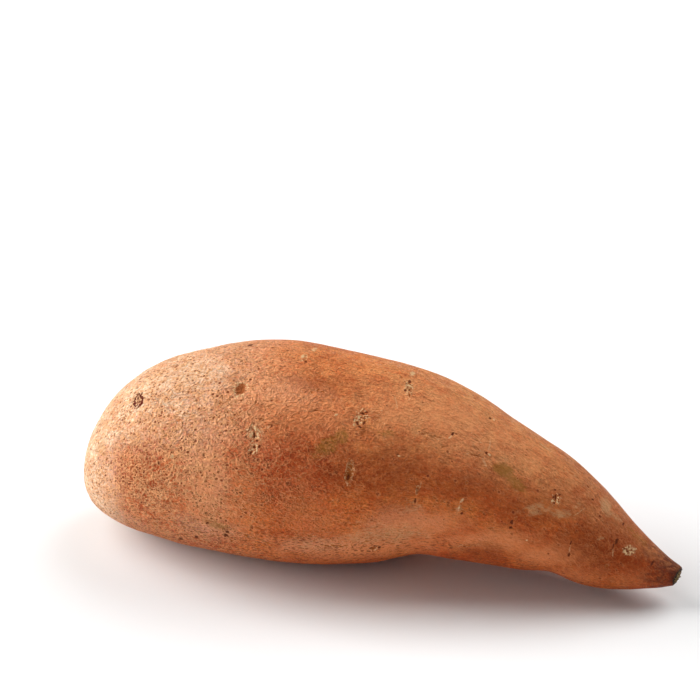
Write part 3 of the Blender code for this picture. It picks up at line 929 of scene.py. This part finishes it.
@dataclass(frozen=True)
class SkinFinish:
    """The skin's colours and pores."""

    name: str = "sweet_potato_skin"
    light: tuple = colour(216, 118, 54)
    deep: tuple = colour(184, 74, 26)
    # The pale of the crown's dust, also laid as painted sheen and as painted reflected light.
    crown: tuple = colour(252, 226, 194)
    # Paler tan laid on the upward-facing back: painted light from above.
    back: tuple = colour(228, 166, 108)
    scurf: tuple = colour(240, 172, 116)
    ridge: tuple = colour(230, 138, 82)
    pore: tuple = colour(132, 58, 24)
    dark: tuple = colour(104, 44, 12)
    pit: tuple = colour(178, 94, 40)
    # Pale of the scars' lips, crumbs and flecks; on the lips it is partly painted highlight.
    lip: tuple = colour(240, 202, 150)
    worn: tuple = (0.72, 0.52, 0.36, 1.0)
    ring: tuple = colour(108, 32, 14)
    olive: tuple = colour(144, 100, 32)
    pale: tuple = colour(208, 160, 112)
    pink: tuple = colour(236, 148, 94)
    brown: tuple = colour(144, 58, 12)
    tip: tuple = colour(92, 42, 28)
    torn: tuple = colour(66, 44, 30)
    roughness: float = 0.55
    specular: float = 0.12

    def build(self) -> bpy.types.Material:
        """Paints the material layer by layer.

        Returns:
            The material.
        """
        coat = Coat(self.name, self.light)
        for layer in (self.ground, self.stains, self.pores, self.wrinkles, self.scars, self.tail_end):
            layer(coat)
        gloss = coat.cloud(coat.place, (6, 6, 6), seed=2)
        rough = coat.fade(gloss, 0.3, 0.7, self.roughness - 0.06, self.roughness + 0.1)
        look = {"Base Color": coat.base, "Specular IOR Level": self.specular, "Roughness": rough}
        coat.fill(coat.surface, look)
        coat.bump(coat.relief)
        return coat.material

    def ground(self, coat: Coat) -> None:
        """The skin's colour and its finest relief, with painted light from above: a paler tan on the
        upward-facing back, a pale sheen on the crown's upper side, and paler flecks on the upper side.

        Args:
            coat: the material so far.
        """
        place, grain, along, upwards = coat.place, coat.grain, coat.along, coat.upwards
        broad = coat.cloud(place, (28, 28, 28), 2, seed=1)
        mottle = coat.cloud(place, (5, 4, 4), 4, 0.6, seed=3)
        blotch = coat.cloud(place, (1.9, 1.5, 1.5), 2, 0.6, seed=24)
        streak = coat.cloud(grain, (9, 0.9, 0.9), 3, 0.6, seed=4)
        grit = coat.cloud(grain, (0.75, 0.55, 0.55), 2, 0.7, seed=5)
        fleck = coat.cloud(grain, (1.1, 0.8, 0.8), 2, 0.6, seed=28)
        dust_and_painted_light = coat.cloud(grain, (9, 5, 5), 4, 0.65, seed=6)
        coat.paint(self.deep, coat.fade(broad, 0.38, 0.62))
        coat.paint(self.deep, coat.fade(mottle, 0.36, 0.66, 0, 0.6))
        # Painted light from above: the upward-facing side is laid paler tan, more strongly from the middle
        # towards the tail.
        painted_top_light = coat.product(
            coat.fade(upwards, 0.35, 0.9),
            coat.fade(mottle, 0.7, 0.4, 0.5, 1),
            coat.fade(along, 75, 108, 0.35, 0.7),
        )
        coat.paint(self.back, painted_top_light)
        coat.paint(self.brown, coat.fade(along, 118, 165, 0, 0.45))
        # The pale of the crown is part dust and part painted sheen: it is kept to the crown's upper side and
        # its very end, where the light from above falls.
        upper = coat.math("MAXIMUM", coat.fade(upwards, 0.3, 0.78, 0.05, 1), coat.fade(along, 20, 6))
        crown_dust_and_sheen = coat.product(coat.fade(along, 78, 10), coat.fade(dust_and_painted_light, 0.32, 0.56, 0.5, 1), upper)
        coat.paint(self.crown, crown_dust_and_sheen, 0.9)
        rough = coat.fade(along, 125, 45, 0.45, 1)
        coat.paint(self.deep, coat.fade(blotch, 0.48, 0.62), 0.5, rough)
        streaked = coat.product(
            coat.fade(streak, 0.34, 0.66, -0.16, 0.16), coat.fade(along, 40, 120, 0.4, 1)
        )
        gritty = coat.product(coat.fade(grit, 0.33, 0.67, -0.42, 0.42), rough)
        coat.paint(coat.total(streaked, gritty, 1), 1, mode="MULTIPLY")
        # Pale flecks of scurf, with painted light from above: paler on the upper side, more orange below.
        scurf_and_top_light = coat.blend(coat.fade(upwards, -0.1, 0.5), self.ridge, self.scurf)
        coat.paint(scurf_and_top_light, coat.fade(fleck, 0.57, 0.66), rough, 0.6)
        coat.paint(self.worn, coat.fade(fleck, 0.43, 0.34), rough, 0.7, mode="MULTIPLY")
        coat.relief = coat.total(
            coat.product(mottle, 0.35), coat.product(blotch, rough, 0.25), coat.product(streak, 0.12),
            coat.product(grit, rough, 0.7), coat.product(fleck, rough, 0.5),
        )

    def pores(self, coat: Coat) -> None:
        """The pores, thick at the crown and thin at the tail, each with a pale rim of painted highlight, and
        the dashes of the belly.

        Args:
            coat: the material so far.
        """
        grain, along = coat.grain, coat.along
        drift = coat.cloud(coat.place, (12, 10, 10), 3, seed=8)
        rows = coat.cloud(grain, (18, 1.6, 1.6), 2, seed=14)
        crowd = coat.product(
            coat.fade(along, 30, 78, 1.15, 0.12),
            coat.fade(drift, 0.38, 0.58, 0.35, 1),
            coat.fade(rows, 0.38, 0.58, 0.45, 1),
        )
        rimmed = coat.fade(along, 40, 90, 0.55, 0.15)
        for size, radius, share in ((1.35, 0.3, 0.95), (0.9, 0.28, 0.85)):
            away, pick = coat.cells(grain, (1.15 * size, size, size))
            chosen = coat.fade(coat.math("SUBTRACT", pick, crowd), 0, -0.05)
            outer = coat.fade(away, radius * 2.1, radius * 1.5)
            rim = coat.product(coat.fade(away, radius * 0.9, radius * 1.3), outer, chosen)
            hole = coat.product(coat.fade(away, radius * 1.1, radius * 0.7), chosen)
            # Painted highlight: a pale rim round each pore, strongest at the crown.
            coat.paint(self.scurf, rim, rimmed)
            coat.paint(self.pore, hole, share)
            coat.lift(hole, -0.2)
            coat.lift(rim, 0.04)
        belly = coat.fade(coat.split(grain)[2], -3, -12)
        for size in (0.8, 0.55):
            away, pick = coat.cells(grain, (3.2 * size, size, size))
            dash = coat.product(coat.fade(away, 0.34, 0.22), coat.fade(pick, 0.75, 0.65), belly)
            coat.paint(self.pore, dash, 0.9)
            coat.lift(dash, -0.12)

    def wrinkles(self, coat: Coat) -> None:
        """The fine pale ridges between the pores, and the long fine wrinkles of the neck and tail.

        Args:
            coat: the material so far.
        """
        grain, along = coat.grain, coat.along
        patchy = coat.fade(coat.cloud(coat.place, (8, 6, 6), 2, seed=9), 0.38, 0.6, 0.45, 1)
        worn = coat.product(patchy, coat.fade(along, 50, 120, 1, 0.4))
        crest = coat.blend(coat.fade(along, 35, 75), self.scurf, self.ridge)
        for size, share in ((1.9, 0.5), (1, 0.6)):
            worms = coat.cloud(grain, (1.4 * size, size, size), 1, 0.5, seed=16 + size)
            offset = coat.math("ABSOLUTE", coat.math("SUBTRACT", worms, 0.5))
            ridge = coat.product(coat.fade(offset, 0.07, 0), worn)
            valley = coat.product(coat.fade(offset, 0.09, 0.2), worn)
            coat.paint(self.worn, valley, 0.65, mode="MULTIPLY")
            coat.paint(crest, ridge, share)
            coat.lift(ridge, 0.2 * size)
        lines = coat.cloud(grain, (15, 1.3, 1.3), 2, 0.5, seed=18)
        groove = coat.fade(coat.math("ABSOLUTE", coat.math("SUBTRACT", lines, 0.5)), 0.022, 0)
        groove = coat.product(groove, coat.fade(along, 40, 110, 0.15, 0.8), patchy)
        coat.paint(self.pore, groove, 0.35)
        coat.lift(groove, -0.1)

    def stains(self, coat: Coat) -> None:
        """The stains, some of them painted light or shade: dust with painted sheen and painted reflected
        light, pink, brown, pale and olive, of which the last two have a crisp edge.

        Args:
            coat: the material so far.
        """
        fray = coat.cloud(coat.place, (2.2, 0.9, 0.9), 4, 0.75, seed=10)
        for tint, shade, strength, crisp in (
            # Dust, with painted sheen and painted light reflected from the floor, in the crown's pale.
            (DUST_AND_PAINTED_LIGHT, self.crown, 0.95, False),
            (PINK, self.pink, 0.9, False),
            (BROWN, self.brown, 0.78, False),
            (PALE, self.pale, 0.65, True),
            (OLIVE, self.olive, 0.7, True),
        ):
            amount = coat.attribute(tint.value).outputs["Fac"]
            if crisp:
                frayed = coat.total(amount, coat.fade(fray, 0.25, 0.75, -0.35, 0.35))
                amount = coat.product(coat.fade(frayed, 0.1, 0.8), coat.fade(amount, 0.02, 0.3))
            else:
                amount = coat.product(amount, coat.fade(fray, 0.34, 0.6, 0.55, 1))
            coat.paint(shade, amount, strength)

    def scars(self, coat: Coat) -> None:
        """The scars' dark cores, pale lips that are part pale edge and part painted highlight, rings and
        flakes.

        Args:
            coat: the material so far.
        """
        length, width, ring = coat.split(coat.attribute("scar_spot").outputs["Vector"])
        off = coat.math("POWER", coat.total(coat.product(length, length), coat.product(width, width)), 0.5)
        fine = coat.cloud(coat.place, (0.6, 0.6, 0.6), 2, 0.6, seed=12)
        off = coat.product(off, coat.fade(fine, 0.25, 0.75, 0.72, 1.28))
        look = coat.attribute("scar_look")
        core, lip, pale = coat.split(look.outputs["Color"])
        flaky = look.outputs["Alpha"]
        broken = coat.fade(coat.cloud(coat.place, (0.9, 0.9, 0.9), 2, seed=20), 0.42, 0.58)
        # The pale lip round each scar is part pale scar edge and part painted highlight of the raised lip.
        rim = coat.product(coat.fade(off, 0.75, 0.95), coat.fade(off, 1.4, 1.1), lip, broken)
        filled = coat.product(coat.fade(off, 1.1, 0.5), pale, coat.fade(fine, 0.6, 0.45, 0.4, 1))
        inside = coat.fade(off, 1.3, 0.9)
        crumble = coat.cloud(coat.place, (0.66, 0.66, 0.66), 1, seed=26)
        crumbs = coat.product(coat.fade(crumble, 0.5, 0.56), inside, flaky)
        holes = coat.product(coat.fade(crumble, 0.44, 0.38), inside, flaky)
        centre = coat.product(coat.fade(off, 1.15, 0.65), coat.fade(core, 0, 0.8))
        band = coat.product(coat.fade(off, 0.56, 0.68), coat.fade(off, 1.13, 1), ring)
        shade = coat.blend(coat.fade(core, 0.6, 0.95), self.pit, self.dark)
        coat.paint(self.lip, rim, 0.85)
        coat.paint(shade, centre, 0.95)
        coat.paint(self.lip, filled, 0.9)
        coat.paint(self.lip, crumbs, 0.85)
        coat.paint(self.ring, band)
        coat.paint(self.dark, holes, 0.75)
        coat.lift(crumbs, 0.12)
        coat.lift(holes, -0.12)

    def tail_end(self, coat: Coat) -> None:
        """The purple-brown of the tail's last stretch, and the dark flesh where it snapped.

        Args:
            coat: the material so far.
        """
        smudge = coat.cloud(coat.place, (3, 1.2, 1.2), 3, seed=22)
        reach = coat.total(coat.along, coat.fade(smudge, 0.3, 0.7, -4, 4))
        coat.paint(self.tip, coat.fade(reach, 172, 188, 0, 0.9))
        coat.paint(self.torn, coat.attribute("torn").outputs["Fac"])


@dataclass
class SnappedTip:
    """The short torn fibres that stand up where the thin end of the tail snapped off."""

    skin: bpy.types.Object
    fibres: int = 42
    spread: float = 1.9 * MM
    thickness: float = 0.5 * MM
    shortest: float = 0.15 * MM
    longest: float = 0.6 * MM
    root_depth: float = 0.9 * MM
    splay: float = 0.2
    golden_turn: float = 137.5
    seed: int = 3

    def build(self) -> bpy.types.Object:
        """Makes the bundle of fibres.

        Returns:
            The object.
        """
        draw = random.Random(self.seed)
        mesh = self.skin.data
        torn = np.empty(len(mesh.vertices))
        mesh.attributes["torn"].data.foreach_get("value", torn)
        places = np.array([vert.co for vert in mesh.vertices])
        face = places[torn > 0.9]
        before = places[abs(places[:, 0] - (face[:, 0].min() - 4 * MM)) < 0.5 * MM]
        middle = (face.min(axis=0) + face.max(axis=0)) / 2
        start = (before.min(axis=0) + before.max(axis=0)) / 2
        axis = Vector(middle - start).normalized()
        turned = axis.to_track_quat("Z", "Y").to_matrix()
        bundle = bmesh.new()
        for count in range(self.fibres):
            reach = self.spread * math.sqrt((count + 0.5) / self.fibres)
            turn = count * math.radians(self.golden_turn)
            long = draw.uniform(self.shortest, self.longest) + self.root_depth
            thick = self.thickness * draw.uniform(0.6, 1.0)
            fibre = bmesh.ops.create_cone(
                bundle, cap_ends=True, segments=6, radius1=thick / 2, radius2=thick / 3, depth=long
            )["verts"]
            nod = Matrix.Rotation(draw.uniform(-self.splay, self.splay), 3, "X")
            lean = nod @ Matrix.Rotation(draw.uniform(-self.splay, self.splay), 3, "Y")
            foot = Vector(middle) + turned @ Vector((reach * math.cos(turn), reach * math.sin(turn), 0))
            nearest = face[np.argmin(np.hypot(face[:, 1] - foot.y, face[:, 2] - foot.z))]
            foot.x = nearest[0]
            for vert in fibre:
                local = lean @ vert.co + Vector((0, 0, long / 2 - self.root_depth))
                vert.co = foot + turned @ local
        mesh = bpy.data.meshes.new("tip_fibres")
        bundle.to_mesh(mesh)
        bundle.free()
        return bpy.data.objects.new("tip_fibres", mesh)


@dataclass(frozen=True)
class FibreFinish:
    """The dry, pale flesh of the torn fibres."""

    name: str = "torn_fibres"
    flesh: tuple = colour(188, 160, 104)
    stain: tuple = colour(84, 56, 34)
    roughness: float = 0.7

    def build(self) -> bpy.types.Material:
        """Makes the material.

        Returns:
            The material.
        """
        board = Board(self.name)
        patch = board.cloud(board.here(), (0.7 * MM, 0.35 * MM, 0.35 * MM), 3.0, seed=1.0)
        base = board.blend(board.fade(patch, 0.40, 0.60), self.flesh, self.stain)
        board.fill(board.surface, {"Base Color": base, "Roughness": self.roughness})
        board.bump(board.product(patch, 0.08))
        return board.material


@dataclass
class Studio:
    """The floor, the lights and the camera."""

    azimuth: float = 11.0
    elevation: float = 30.0
    distance: float = 884.4 * MM
    aim: tuple[float, float, float] = (-12.9 * MM, 15.7 * MM, 60.9 * MM)
    lens: float = 150.0
    sensor: float = 36.0
    nearest_seen: float = 0.05
    floor_size: float = 8.0
    floor_colour: tuple = colour(246, 246, 246)
    sky: tuple = colour(255, 253, 250)
    sky_strength: float = 0.1
    lamp_distance: float = 1.4

    def floor(self) -> None:
        """The pale floor, which isn't part of the object."""
        shape = bmesh.new()
        bmesh.ops.create_grid(shape, x_segments=1, y_segments=1, size=self.floor_size / 2)
        mesh = bpy.data.meshes.new("floor")
        shape.to_mesh(mesh)
        shape.free()
        board = Board("pale_floor")
        look = {"Base Color": self.floor_colour, "Roughness": 0.9, "Specular IOR Level": 0.0}
        board.fill(board.surface, look)
        mesh.materials.append(board.material)
        floor = bpy.data.objects.new("floor", mesh)
        bpy.context.scene.collection.objects.link(floor)

    def lamp(self, name: str, turn: float, tilt: float, size: float, watts: float) -> None:
        """A square soft light that faces the root.

        Args:
            name: the light's name.
            turn: how far it stands round the root from the front towards the left, in degrees.
            tilt: how high it hangs, in degrees.
            size: the length of its side.
            watts: its power.
        """
        turn, tilt = math.radians(turn), math.radians(tilt)
        towards = Vector((-math.sin(turn) * math.cos(tilt), -math.cos(turn) * math.cos(tilt), math.sin(tilt)))
        light = bpy.data.lights.new(name, "AREA")
        light.shape = "SQUARE"
        light.size = size
        light.energy = watts
        lamp = bpy.data.objects.new(name, light)
        lamp.location = towards * self.lamp_distance
        lamp.rotation_euler = towards.to_track_quat("Z", "Y").to_euler()
        bpy.context.scene.collection.objects.link(lamp)

    def camera(self) -> None:
        """The camera, at the photograph's viewing angle."""
        turn, tilt = math.radians(self.azimuth), math.radians(self.elevation)
        back = Vector((math.sin(turn) * math.cos(tilt), -math.cos(turn) * math.cos(tilt), math.sin(tilt)))
        data = bpy.data.cameras.new("camera")
        data.lens = self.lens
        data.sensor_width = self.sensor
        data.clip_start = self.nearest_seen
        camera = bpy.data.objects.new("camera", data)
        camera.location = Vector(self.aim) + back * self.distance
        camera.rotation_euler = back.to_track_quat("Z", "Y").to_euler()
        bpy.context.scene.collection.objects.link(camera)
        bpy.context.scene.camera = camera

    def build(self) -> None:
        """Makes the whole studio."""
        self.floor()
        self.camera()
        self.lamp("left", turn=90, tilt=22, size=0.8, watts=20.0)
        self.lamp("high_left", turn=95, tilt=52, size=0.8, watts=7.5)
        self.lamp("back_right", turn=225, tilt=50, size=1.2, watts=15.0)
        self.lamp("front_left", turn=40, tilt=22, size=1.2, watts=3.6)
        world = bpy.data.worlds.new("sky")
        world.use_nodes = True
        sky = world.node_tree.nodes["Background"]
        sky.inputs["Color"].default_value = self.sky
        sky.inputs["Strength"].default_value = self.sky_strength
        bpy.context.scene.world = world
        bpy.context.scene.view_settings.view_transform = "Standard"


def dress(piece: bpy.types.Object, finish: "SkinFinish | FibreFinish") -> None:
    """Links a finished piece, gives it its material and lets it ride on the root.

    Args:
        piece: the object.
        finish: what it is made to look like.
    """
    piece.data.materials.clear()
    piece.data.materials.append(finish.build())
    bpy.context.scene.collection.objects.link(piece)
    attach(piece, BODY)
    log.info("%s: %d faces", piece.name, len(piece.data.polygons))


def main() -> None:
    """Builds the studio and the root, in order."""
    logging.basicConfig(level=logging.INFO, format="%(message)s")
    Studio().build()
    length = (cad_box[1][0] - cad_box[0][0]) / MM
    hidden = HiddenSide(length)
    marks = hidden.draw_scars()
    for mark in NEAR_SCARS:
        marks += mark.draw() if isinstance(mark, Trail) else [mark]
    skin = Skin(scars=marks, stains=[*NEAR_STAINS, *hidden.draw_stains()]).build()
    dress(skin, SkinFinish())
    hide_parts(NODE)
    dress(SnappedTip(skin).build(), FibreFinish())


if __name__ == "__main__":
    main()
